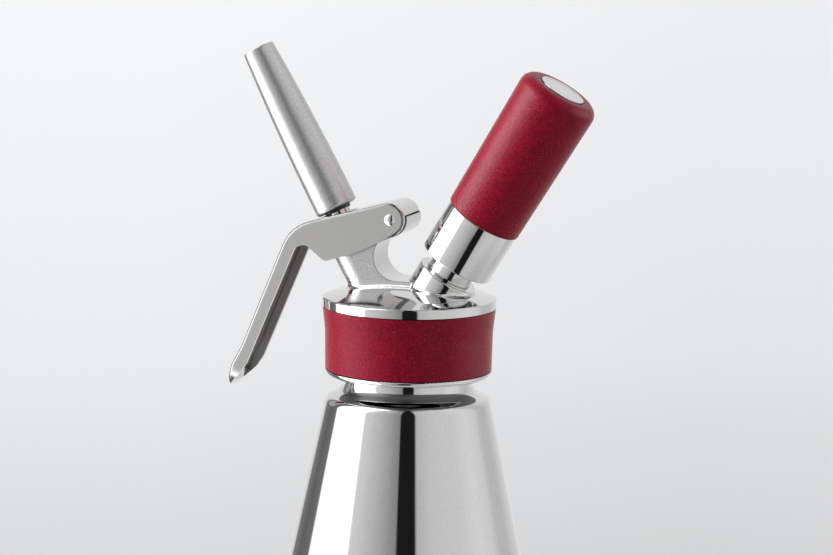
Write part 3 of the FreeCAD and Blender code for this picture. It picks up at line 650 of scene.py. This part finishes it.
gasket_tone = (0.60, 0.585, 0.55)
gasket_dark = (0.50, 0.485, 0.45)
gasket_roughness = (0.5, 0.7)
cloud_edges = (0.36, 0.64)    # noise between which the darker colour turns to the paler one
dull_finishes = set()         # names of the moulded finishes, for the lights at the end


def moulded(name, colour, darker, roughness, pits=2400.0, depth=6e-6, shine=0.45):
    """Moulded rubber or silicone: cloudy colour, and fine pits that also vary the gloss."""
    material = material_of(name, colour, 0.0, sum(roughness) / 2, Specular_IOR_Level=shine)
    dull_finishes.add(material.name)
    tree = material.node_tree
    cloud = grain(tree, 130.0, detail=5.0, spread=0.65)
    pitted = grain(tree, pits, detail=2.5, spread=0.6)
    mottled = maths(tree, "MULTIPLY", maths(tree, "ADD", cloud, pitted), 0.5)
    sharp = stepped(tree, mottled, *cloud_edges)
    return textured(material, roughness=ranged(tree, pitted, *roughness), height=pitted,
                    depth=depth, colour=blended(tree, sharp, tone(darker), tone(colour)))


finish("head_gasket", moulded("pale_silicone", gasket_tone, gasket_dark, gasket_roughness))


# ---------------------------------------------------------------- red band
# Silicone band stretched over the head's skirt, so that a hand can grip it. It flares to the
# rim above it and stands on the polished lip below.

red_tone = (0.200, 0.0007, 0.014)
red_dark = (0.136, 0.0005, 0.009)
# pale speck painted as a glint
red_glint_tone = (0.25, 0.009, 0.025)
red_corner_shade = (0.02, 0.0, 0.004)
red_shades = (0.40, 1.50)     # darkest and brightest grains, times the red itself
red_glint_share = (0.50, 0.70)     # noise between which a grain turns to a pale speck, a painted glint
red_roughness = (0.18, 0.32)
band_seat_radius = 32.2
band_top_radius = 35.8
band_waist_radius = 34.7
band_waist_level = 222.0
band_foot_radius = 34.4
band_foot_level = 205.8
band_gap = 0.2


def red_silicone(name):
    """Red moulded silicone, its skin all grains, with pale specks of under half a millimetre painted as
    glints, and painted shade in its corners.
    """
    material = moulded(name, red_tone, red_dark, red_roughness, pits=2300.0, depth=1.6e-4,
                       shine=0.12)
    tree = material.node_tree
    plain = tree.nodes["Principled BSDF"].inputs["Base Color"].links[0].from_socket
    shade = blended(tree, grain(tree, 1900.0, detail=1.0), *map(tone, red_shades))
    varied = node_of(tree, "ShaderNodeVectorMath", ("operation", "MULTIPLY"), i0=plain, i1=shade)
    # pale specks painted as glints
    specks = stepped(tree, grain(tree, 2000.0, detail=1.0), *red_glint_share)
    with_painted_glints = blended(tree, specks, varied.outputs[0], tone(red_glint_tone))
    # painted glints, and painted shade in the corners
    return textured(material, colour=painted_corner_shade(tree, with_painted_glints, red_corner_shade))


def make_band():
    """Ring of an outline that bows from the foot to the flare at the top."""
    outline = rounded([
        (band_seat_radius, band_foot_level),
        (band_foot_radius, band_foot_level, 0.4),
        (band_waist_radius, band_waist_level, 45.0),
        (band_top_radius, band_level - band_gap, 0.4),
        (band_seat_radius, band_level - band_gap)], steps=16)
    return piece("head_band", [turned(outline)])


dress(make_band(), "head_body", red_silicone("red_band"), ["head_band"])


# ---------------------------------------------------------------- lever
# Pressed from sheet steel: two plates and the web between them along the outer edge. The
# plates are brushed satin and the web is polished, with a painted dark reflection along the
# turn between.

plate_tone = (0.56, 0.555, 0.545)
plate_facing = (0.90, 0.985)  # how far a face points sideways, from bright to satin
plate_roughness = (0.24, 0.34)        # added on the plates
web_roughness = (0.07, 0.14)
turn_reflection_tone = 0.22
turn_reflection_facing = (0.60, 0.72)    # the painted dark reflection on the turn starts, and is whole
turn_reflection_ending = (0.97, 0.90)    # it is gone, and is still whole
pivot_x = -5.6
pivot_rise = 36.4             # above the band's top
pin_seat = 10.65              # half the width over both plates
pin_radius = 2.0
pin_head_radius = 2.3
pin_head_height = 0.9


def pressed_steel():
    """Satin where the surface faces sideways, bright on the web, with a painted dark reflection along
    the turn between.
    """
    material = material_of("pressed_steel", plate_tone, 1.0, 0.3)
    tree = material.node_tree
    normal = node_of(tree, "ShaderNodeTexCoord").outputs["Normal"]
    facing = node_of(tree, "ShaderNodeSeparateXYZ", Vector=normal).outputs["Y"]
    sideways = maths(tree, "ABSOLUTE", facing)
    side = stepped(tree, sideways, *plate_facing)
    # painted dark reflection along the turn between plates and web
    turn = maths(tree, "MULTIPLY", stepped(tree, sideways, *turn_reflection_facing),
                 stepped(tree, sideways, *turn_reflection_ending))
    brushed = grain(tree, (2400.0, 60.0, 2400.0), detail=3.0)
    speckle = grain(tree, 700.0, detail=5.0, spread=0.7)
    cloud = grain(tree, 45.0)
    dull = maths(tree, "MULTIPLY", side, ranged(tree, speckle, *plate_roughness))
    roughness = maths(tree, "ADD", dull, ranged(tree, cloud, *web_roughness))
    relief = maths(tree, "MULTIPLY", side, maths(tree, "ADD", brushed, speckle))
    faces = blended(tree, side, tone(polished_tone), tone(plate_tone))
    # painted shade in the corners
    return textured(material, roughness=roughness, height=relief, depth=8e-6,
                    colour=painted_corner_shade(tree, blended(tree, turn, faces, tone(turn_reflection_tone))))


def make_pin():
    """Shank between two heads, each a low cap of a ball: level = top - ball + sqrt(ball^2 - r^2)."""
    ball = (pin_head_radius ** 2 + pin_head_height ** 2) / (2 * pin_head_height)
    radius = np.linspace(pin_head_radius, 0.0, 14)
    top = pin_seat + pin_head_height
    cap = np.stack([radius, top - ball + np.sqrt(ball ** 2 - radius ** 2)], -1)
    shank = np.array([(pin_radius, -pin_seat), (pin_radius, pin_seat)])
    outline = np.vstack([cap[::-1] * (1, -1), shank, cap])
    place = (Matrix.Translation((pivot_x * mm, 0, (band_level + pivot_rise) * mm))
             @ Matrix.Rotation(math.pi / 2, 4, "X"))
    return piece("lever_pin", [turned(outline, steps=64)], place)


finish("lever", pressed_steel())
dress(make_pin(), "lever_body", polished_steel("pin_steel"), ["lever_pin"])


# ---------------------------------------------------------------- valve
# A hollow stem turned from steel bar slides in the post. Its disc lifts a black rubber washer
# against the seat, and two rubber rings in its grooves keep the cream out of the spring.

valve_lean = math.atan2(joints["nozzle_rise"]["axis"][0], joints["nozzle_rise"]["axis"][2])
port_lean = math.atan2(joints["charger_lift"]["axis"][0], joints["charger_lift"]["axis"][2])
turned_tone = (0.62, 0.61, 0.60)
rubber_tone = (0.022, 0.022, 0.024)
rubber_dark = (0.012, 0.012, 0.013)
rubber_roughness = (0.35, 0.6)
spring_tone = (0.42, 0.42, 0.43)
spring_roughness = (0.16, 0.34)
spring_wire = 1.2
spring_coil = 6.1
spring_foot = 21.62
spring_top = 35.18
spring_turns = 5.0
spring_sides = 20             # of the ring round the wire
closed_turns = 0.75
closed_pitch = 1.04           # thicknesses of the wire that a closed turn climbs


def turned_steel(name, lean, lines=2600.0, roughness=(0.16, 0.30), depth=3e-6):
    """Fine rings left by the turning tool, square to an axis that leans by an angle."""
    material = material_of(name, turned_tone, 1.0, sum(roughness) / 2)
    tree = material.node_tree
    rings = grain(tree, (25.0, 25.0, lines), detail=3.0, turned_by=lean)
    speckle = grain(tree, 1500.0)
    return textured(material, roughness=ranged(tree, speckle, *roughness), height=rings, depth=depth)


def make_spring():
    """Round wire on a helix whose turns lie close at both ends.

    The level climbs by little more than the wire's thickness a turn in the closed turns, and
    evenly between them. Each ring of the wire is the circle square to the helix.
    """
    turn = np.linspace(0, spring_turns, int(spring_turns * 72) + 1)
    closed = closed_turns * closed_pitch * spring_wire
    low, high = spring_foot + spring_wire / 2, spring_top - spring_wire / 2
    level = np.interp(turn, [0, closed_turns, spring_turns - closed_turns, spring_turns],
                      [low, low + closed, high - closed, high])
    angle = 2 * math.pi * turn
    centre = np.stack([spring_coil * np.cos(angle), spring_coil * np.sin(angle), level], -1)
    outward = np.stack([np.cos(angle), np.sin(angle), 0 * angle], -1)
    along = np.gradient(centre, axis=0)
    along /= np.linalg.norm(along, axis=1)[:, None]
    upward = np.cross(along, -outward)
    round_angle = np.linspace(0, 2 * math.pi, spring_sides, endpoint=False)[:, None, None]
    offset = np.cos(round_angle) * outward + np.sin(round_angle) * upward
    rings = (centre + offset * spring_wire / 2).transpose(1, 0, 2)
    first, last = (np.tile(end, (1, spring_sides, 1)) for end in (centre[0], centre[-1]))
    rings = np.concatenate([first, rings, last])
    quads = grid_faces(rings.shape[0], rings.shape[1], wrap=True)
    return piece("valve_spring", [(rings.reshape(-1, 3), quads)], valve_axis)


stem_steel = turned_steel("stem_steel", valve_lean)
black_rubber = moulded("black_rubber", rubber_tone, rubber_dark, rubber_roughness)
finish("valve_stem", stem_steel)
finish("valve_seal", black_rubber)
finish("stem_rings", black_rubber)

spring_steel = material_of("spring_steel", spring_tone, 1.0, 0.24)
spring_scale = grain(spring_steel.node_tree, 900.0)
textured(spring_steel, roughness=ranged(spring_steel.node_tree, spring_scale, *spring_roughness))
spring = make_spring()
dress(spring, "valve_body", spring_steel, ["valve_spring"])
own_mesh(spring)


# ---------------------------------------------------------------- nozzle
# Adaptor screwed on the stem, with a domed flange under the lever, and on it the long nozzle,
# drawn and rolled to a slow taper and brushed round. A black rubber washer seals its foot.

nozzle_foot = 43.865
nozzle_top = 117.865
nozzle_foot_radius = 8.92
nozzle_top_radius = 6.6
nozzle_side_rounding = 1080.0
nozzle_bore_rounding = 200.0
nozzle_wall = 1.5
adaptor_thread_radius = 4.1
adaptor_crest = 4.4
nozzle_socket = 4.6
nozzle_crest = 4.3
nozzle_socket_depth = 9.6
nozzle_throat = 3.0           # the cone above the socket
nozzle_pitch = 1.5
nozzle_lead = 1.0             # from the nozzle's foot up to its thread
adaptor_thread_length = 6.8   # from the same level to the adaptor's last turn
ridge_margin = 0.6            # from the last turn of a thread to the end of its bore
nozzle_tone = (0.66, 0.65, 0.635)
nozzle_flecks = (0.44, 0.86)  # darkest and brightest
nozzle_roughness = (0.28, 0.50)
adaptor_roughness = (0.10, 0.22)


def brushed_nozzle():
    """Level brushing that runs round the nozzle, as short scratches in many lengths."""
    material = material_of("brushed_nozzle", nozzle_tone, 1.0, 0.2)
    tree = material.node_tree
    scratches = grain(tree, (220.0, 220.0, 2600.0), detail=5.0, turned_by=valve_lean, spread=0.62)
    grit = grain(tree, 1300.0, detail=3.0, spread=0.6)
    flecks = blended(tree, grain(tree, 2000.0, detail=1.0), *map(tone, nozzle_flecks))
    # flecks, with painted shade in the corners
    return textured(material, roughness=ranged(tree, grit, *nozzle_roughness),
                    height=maths(tree, "ADD", scratches, grit), depth=3.6e-5,
                    colour=painted_corner_shade(tree, flecks))


def make_nozzle():
    """Closed outline of the nozzle's outside and bore, with the thread inside its foot."""
    middle = (nozzle_foot + nozzle_top) / 2
    bore = nozzle_foot_radius - nozzle_wall
    socket_top = nozzle_foot + nozzle_socket_depth
    outline = rounded([
        (nozzle_socket, nozzle_foot, 0.3),
        (nozzle_foot_radius, nozzle_foot, 1.3),
        (nozzle_foot_radius, middle, nozzle_side_rounding),
        (nozzle_top_radius, nozzle_top, 0.5),
        (nozzle_top_radius - nozzle_wall, nozzle_top, 0.3),
        (bore, middle, nozzle_bore_rounding),
        (bore, socket_top + nozzle_throat, 1.0),
        (nozzle_socket, socket_top)], steps=24)
    ridge = thread(nozzle_socket, nozzle_crest, nozzle_pitch,
                   nozzle_foot + nozzle_lead, socket_top - ridge_margin, phase=math.pi)
    return piece("nozzle", [turned(outline), ridge], valve_axis)


dress(make_nozzle(), "nozzle_body", brushed_nozzle(), ["nozzle"])
finish("nozzle_washer", black_rubber)
finish("tip_adaptor", turned_steel("adaptor_steel", valve_lean, roughness=adaptor_roughness))
adaptor_ridge = thread(adaptor_thread_radius, adaptor_crest, nozzle_pitch,
                       nozzle_foot + ridge_margin, nozzle_foot + adaptor_thread_length)
dress(piece("adaptor_thread", [adaptor_ridge], valve_axis), "valve_body",
      turned_steel("thread_steel", valve_lean))


# ---------------------------------------------------------------- charger port
# A slotted bush screwed to the bottom of the port holds a hollow needle, and a rubber ring
# seals the charger's nose. Inside the head a silicone sleeve over the nipple lets gas out only.

clear_tone = (0.66, 0.64, 0.60)
clear_dark = (0.56, 0.54, 0.50)
clear_roughness = (0.4, 0.6)

port_steel = turned_steel("port_steel", port_lean)
finish("port_insert", port_steel)
finish("piercing_pin", port_steel)
finish("charger_gasket", black_rubber)
finish("check_valve_sleeve", moulded("clear_silicone", clear_tone, clear_dark, clear_roughness))


# ---------------------------------------------------------------- charger
# Small drawn steel bottle of gas with a crimped cap, which the needle has pierced. Its zinc
# coat is dull and a little uneven.

charger_tone = (0.58, 0.59, 0.60)
charger_roughness = (0.24, 0.42)


def drawn_steel(name):
    """Dull coat with faint lines along the drawing direction."""
    material = material_of(name, charger_tone, 1.0, 0.3)
    tree = material.node_tree
    lines = grain(tree, (800.0, 800.0, 20.0), detail=4.0, turned_by=port_lean)
    cloud = grain(tree, 90.0, detail=4.0)
    return textured(material, roughness=ranged(tree, cloud, *charger_roughness),
                    height=lines, depth=5e-6)


charger_steel = drawn_steel("charger_steel")
finish("charger", charger_steel)
finish("charger_cap", charger_steel)


# ---------------------------------------------------------------- charger holder
# A polished steel sleeve with a thread in its mouth, a red silicone grip stretched over its
# core, and a plain round steel badge pressed into the grip's end.

sleeve_foot = 22.5
sleeve_radius = 15.5
sleeve_rim_wall = 2.0
sleeve_rim_depth = 3.0
sleeve_thread_top = 40.0
thread_bore = 10.1
sleeve_crest = 9.78
charger_bore = 9.4
charger_bore_top = 96.6
charger_bore_rounding = 8.5
core_radius = 13.8
core_top = 103.1
core_rounding = 3.0
grip_foot = 44.6
grip_gap = 0.05               # under the grip, above the sleeve's bright mouth
grip_foot_radius = 15.95
grip_top = 107.4
grip_top_radius = 17.0
grip_top_rounding = 4.8
badge_radius = 9.7
badge_gap = 0.25
badge_depth = 1.6
badge_rim = 0.9
badge_face = 0.1              # how far the face stands above the grip
badge_rim_rise = 0.2          # and its rim above the face
badge_rim_slope = 0.3         # from the rim in to the face
badge_tone = (0.74, 0.735, 0.75)
badge_circles = 9000.0        # radians of their wave in a metre of radius
badge_roughness = (0.14, 0.28)


def make_sleeve():
    """Outline of the sleeve's outside, core and bore, with the thread in its mouth."""
    outline = rounded([
        (sleeve_radius - sleeve_rim_wall, sleeve_foot, 0.3),
        (sleeve_radius, sleeve_foot, 0.6),
        (sleeve_radius, grip_foot - grip_gap, 0.2),
        (core_radius, grip_foot - grip_gap),
        (core_radius, core_top, core_rounding),
        (0.0, core_top),
        (0.0, charger_bore_top),
        (charger_bore, charger_bore_top, charger_bore_rounding),
        (charger_bore, sleeve_thread_top),
        (thread_bore, sleeve_thread_top),
        (thread_bore, sleeve_foot + sleeve_rim_depth, 0.4),
        (sleeve_radius - sleeve_rim_wall, sleeve_foot + sleeve_rim_depth)], steps=12)
    ridge = thread(thread_bore, sleeve_crest, stub_pitch,
                   sleeve_foot + sleeve_rim_depth + ridge_margin,
                   sleeve_thread_top - ridge_margin, phase=math.pi)
    return piece("holder_sleeve", [turned(outline), ridge], port_axis)


def make_grip():
    """Outline of the grip from its foot round its soft top edge to the badge's recess."""
    recess = badge_radius + badge_gap
    outline = rounded([
        (core_radius, grip_foot),
        (grip_foot_radius, grip_foot, 0.6),
        (grip_top_radius, grip_top, grip_top_rounding),
        (recess, grip_top, 0.25),
        (recess, grip_top - badge_depth),
        (0.0, grip_top - badge_depth),
        (0.0, core_top),
        (core_radius, core_top, core_rounding)], steps=20)
    return piece("holder_grip", [turned(outline)], port_axis)


def make_badge():
    """Outline of the badge: a flat face inside a narrow raised rim."""
    face = grip_top + badge_face
    rim = face + badge_rim_rise
    outline = rounded([
        (0.0, grip_top - badge_depth),
        (badge_radius, grip_top - badge_depth),
        (badge_radius, rim, 0.1),
        (badge_radius - badge_rim, rim, 0.1),
        (badge_radius - badge_rim - badge_rim_slope, face, 0.1),
        (0.0, face)], steps=8)
    return piece("holder_badge", [turned(outline)], port_axis, sharp=50.0)


def badge_steel():
    """Face turned in fine circles about the holder's axis."""
    material = material_of("badge_steel", badge_tone, 1.0, 0.2)
    tree = material.node_tree
    rings = maths(tree, "SINE", maths(tree, "MULTIPLY", from_axis(tree, port_axis), badge_circles))
    cloud = grain(tree, 500.0, detail=3.0)
    relief = maths(tree, "ADD", rings, cloud)
    # painted shade in the corners round the badge
    return textured(material, roughness=ranged(tree, cloud, *badge_roughness), height=relief,
                    depth=2.5e-6, colour=painted_corner_shade(tree, tone(badge_tone)))


dress(make_sleeve(), "holder_body",
      polished_steel("sleeve_steel", lean=port_lean, lines=1800.0), ["holder_sleeve"])
dress(make_grip(), "holder_body", red_silicone("red_grip"), ["holder_grip"])
dress(make_badge(), "holder_body", badge_steel(), ["holder_badge"])


# ---------------------------------------------------------------- light on rubber and silicone
# The softbox and a weaker panel on the right again, as wide suns, for the dull pieces alone:
# steel and the floor have the panels themselves.

sun_width = math.radians(44.0)


def light_dull_pieces(name, azimuth, elevation, strength):
    """Sun whose direction is given to the right of the camera and up, in degrees."""
    around, height = view_azimuth + math.radians(azimuth), math.radians(elevation)
    towards = Vector((math.sin(around) * math.cos(height),
                      -math.cos(around) * math.cos(height), math.sin(height)))
    data = bpy.data.lights.new(name, "SUN")
    data.energy = strength
    data.angle = sun_width
    sun = bpy.data.objects.new(name, data)
    sun.rotation_euler = towards.to_track_quat("Z", "Y").to_euler()
    bpy.context.scene.collection.objects.link(sun)
    sun.light_linking.receiver_collection = dull_pieces


dull_pieces = bpy.data.collections.new("dull_pieces")
for made in list(bpy.context.scene.objects):
    if made.type == "MESH" and {material.name for material in made.data.materials} & dull_finishes:
        dull_pieces.objects.link(made)
light_dull_pieces("key", -88.0, 21.0, 4.6)
light_dull_pieces("fill", 100.0, 10.0, 1.4)
